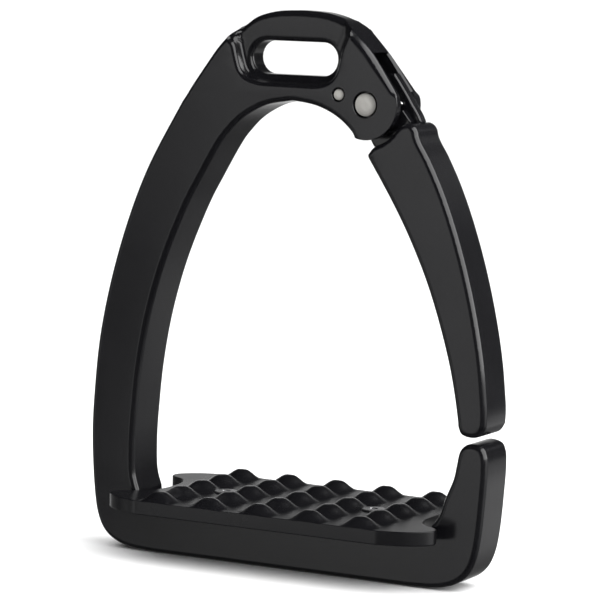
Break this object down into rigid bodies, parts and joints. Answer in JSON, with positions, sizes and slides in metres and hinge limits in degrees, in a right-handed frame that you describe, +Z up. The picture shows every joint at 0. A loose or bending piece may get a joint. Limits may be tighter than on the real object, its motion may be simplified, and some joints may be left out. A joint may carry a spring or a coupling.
{
  "type": "stirrup iron",
  "caption": "Black safety stirrup iron with a studded tread plate and a sprung outer arm that swings open to free the foot.",
  "frame": {"origin": "middle of the base bar's flat underside, on the mid-plane of the frame's thickness", "axes": "+Z up through the top bar, +X towards the release arm, -Y towards the frame's front face"},
  "size_m": [0.1564, 0.068, 0.1955],
  "materials": {
    "frame_black": "machined aluminium, black anodised, semi-gloss",
    "arm_black": "machined aluminium, black anodised, semi-gloss",
    "tread_black": "milled aluminium, black anodised, satin",
    "pin_steel": "ground stainless steel, faced ends",
    "bush_bronze": "plain sintered bronze",
    "spring_steel": "bright spring wire",
    "screw_steel": "bright stainless steel"
  },
  "bodies": {
    "frame_body": {"frame": "frame_black", "hinge_pin": "pin_steel", "stop_pin": "pin_steel", "torsion_spring": "spring_steel", "tread_plate": "tread_black", "tread_screw_left": "screw_steel", "tread_screw_right": "screw_steel"},
    "arm_body": {"release_arm": "arm_black", "hinge_bush": "bush_bronze"}
  },
  "joints": [
    {"name": "arm_hinge", "type": "hinge", "parent": "frame_body", "child": "arm_body", "pos_m": [0.02863, 0, 0.1643], "axis": [0, -1, 0], "range_deg": [0, 80], "stiffness_Nm_per_rad": 0.3, "springref_deg": -34.38, "deforming": ["torsion_spring"]}
  ]
}
